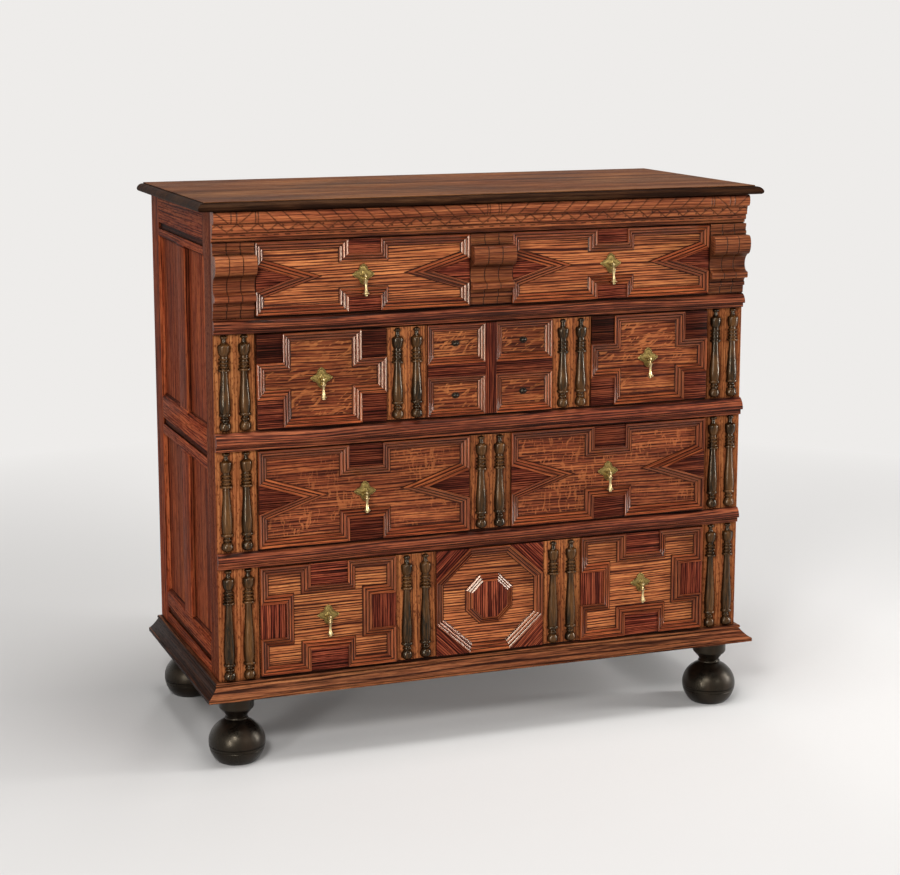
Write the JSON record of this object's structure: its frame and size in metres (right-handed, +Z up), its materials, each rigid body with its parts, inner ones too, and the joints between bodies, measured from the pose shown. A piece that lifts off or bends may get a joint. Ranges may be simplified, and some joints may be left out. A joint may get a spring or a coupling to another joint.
{
  "type": "oak chest of drawers",
  "caption": "Joined oak chest of long drawers on ball feet, its front covered with mitred geometric mouldings, dark plaques, corbels and split black spindles, with brass drop pulls.",
  "frame": {"origin": "middle of the overall box, on the floor under the feet", "axes": "+X to the right across the front as seen from the front, +Y to the back, +Z up"},
  "size_m": [1.137, 0.537, 1.063],
  "materials": {
    "case_oak": "waxed oak, golden brown",
    "side_oak": "waxed oak, dark reddish brown",
    "top_oak": "waxed oak, worn greyish brown",
    "drawer_front_oak": "waxed oak, orange brown",
    "applied_moulding": "waxed oak, red brown",
    "walnut": "polished walnut, very dark red brown",
    "ebonised_wood": "stained black and polished",
    "lining_oak": "bare oak, dry",
    "brass": "old polished brass"
  },
  "bodies": {
    "case": {"base_moulding": "case_oak", "drawer_runners": "lining_oak", "feet": "ebonised_wood", "frieze_moulding": "case_oak", "front_left_stile": "case_oak", "front_rails": "case_oak", "front_right_stile": "case_oak", "left_side_frame": "side_oak", "left_side_panels": "side_oak", "rail_mouldings": "case_oak", "rear_frame": "lining_oak", "rear_left_stile": "case_oak", "rear_panels": "lining_oak", "rear_right_stile": "case_oak", "right_side_frame": "side_oak", "right_side_panels": "side_oak", "stile_corbels": "case_oak", "stile_spindles": "ebonised_wood", "top_board": "top_oak"},
    "drawer_1": {"drawer_1_back": "lining_oak", "drawer_1_bottom": "lining_oak", "drawer_1_corbel": "case_oak", "drawer_1_front": "drawer_front_oak", "drawer_1_mouldings": "applied_moulding", "drawer_1_plaques": "walnut", "drawer_1_pull_plates": "brass", "drawer_1_sides": "lining_oak"},
    "drawer_2": {"drawer_2_back": "lining_oak", "drawer_2_bosses": "walnut", "drawer_2_bottom": "lining_oak", "drawer_2_front": "drawer_front_oak", "drawer_2_mouldings": "applied_moulding", "drawer_2_plaques": "walnut", "drawer_2_pull_plates": "brass", "drawer_2_sides": "lining_oak", "drawer_2_spindles": "ebonised_wood"},
    "drawer_3": {"drawer_3_back": "lining_oak", "drawer_3_bottom": "lining_oak", "drawer_3_front": "drawer_front_oak", "drawer_3_mouldings": "applied_moulding", "drawer_3_plaques": "walnut", "drawer_3_pull_plates": "brass", "drawer_3_sides": "lining_oak", "drawer_3_spindles": "ebonised_wood"},
    "drawer_4": {"drawer_4_back": "lining_oak", "drawer_4_bottom": "lining_oak", "drawer_4_front": "drawer_front_oak", "drawer_4_mouldings": "applied_moulding", "drawer_4_plaques": "walnut", "drawer_4_pull_plates": "brass", "drawer_4_sides": "lining_oak", "drawer_4_spindles": "ebonised_wood"},
    "drawer_1_left_drop": {"drawer_1_left_drop": "brass"},
    "drawer_1_right_drop": {"drawer_1_right_drop": "brass"},
    "drawer_2_left_drop": {"drawer_2_left_drop": "brass"},
    "drawer_2_right_drop": {"drawer_2_right_drop": "brass"},
    "drawer_3_left_drop": {"drawer_3_left_drop": "brass"},
    "drawer_3_right_drop": {"drawer_3_right_drop": "brass"},
    "drawer_4_left_drop": {"drawer_4_left_drop": "brass"},
    "drawer_4_right_drop": {"drawer_4_right_drop": "brass"}
  },
  "joints": [
    {"name": "drawer_1_slide", "type": "slide", "parent": "case", "child": "drawer_1", "axis": [0, -1, 0], "range_m": [0, 0.33]},
    {"name": "drawer_1_left_drop_swing", "type": "hinge", "parent": "drawer_1", "child": "drawer_1_left_drop", "pos_m": [-0.25175, -0.2475, 0.91775], "axis": [-1, 0, 0], "range_deg": [0, 73]},
    {"name": "drawer_1_right_drop_swing", "type": "hinge", "parent": "drawer_1", "child": "drawer_1_right_drop", "pos_m": [0.25175, -0.2475, 0.91775], "axis": [-1, 0, 0], "range_deg": [0, 73]},
    {"name": "drawer_2_slide", "type": "slide", "parent": "case", "child": "drawer_2", "axis": [0, -1, 0], "range_m": [0, 0.33]},
    {"name": "drawer_2_left_drop_swing", "type": "hinge", "parent": "drawer_2", "child": "drawer_2_left_drop", "pos_m": [-0.33488, -0.2475, 0.72825], "axis": [-1, 0, 0], "range_deg": [-3, 80]},
    {"name": "drawer_2_right_drop_swing", "type": "hinge", "parent": "drawer_2", "child": "drawer_2_right_drop", "pos_m": [0.33488, -0.2475, 0.72825], "axis": [-1, 0, 0], "range_deg": [-3, 80]},
    {"name": "drawer_3_slide", "type": "slide", "parent": "case", "child": "drawer_3", "axis": [0, -1, 0], "range_m": [0, 0.33]},
    {"name": "drawer_3_left_drop_swing", "type": "hinge", "parent": "drawer_3", "child": "drawer_3_left_drop", "pos_m": [-0.25175, -0.2475, 0.50675], "axis": [-1, 0, 0], "range_deg": [-3, 80]},
    {"name": "drawer_3_right_drop_swing", "type": "hinge", "parent": "drawer_3", "child": "drawer_3_right_drop", "pos_m": [0.25175, -0.2475, 0.50675], "axis": [-1, 0, 0], "range_deg": [-3, 80]},
    {"name": "drawer_4_slide", "type": "slide", "parent": "case", "child": "drawer_4", "axis": [0, -1, 0], "range_m": [0, 0.33]},
    {"name": "drawer_4_left_drop_swing", "type": "hinge", "parent": "drawer_4", "child": "drawer_4_left_drop", "pos_m": [-0.3266, -0.2475, 0.27275], "axis": [-1, 0, 0], "range_deg": [-3, 80]},
    {"name": "drawer_4_right_drop_swing", "type": "hinge", "parent": "drawer_4", "child": "drawer_4_right_drop", "pos_m": [0.3266, -0.2475, 0.27275], "axis": [-1, 0, 0], "range_deg": [-3, 80]}
  ]
}
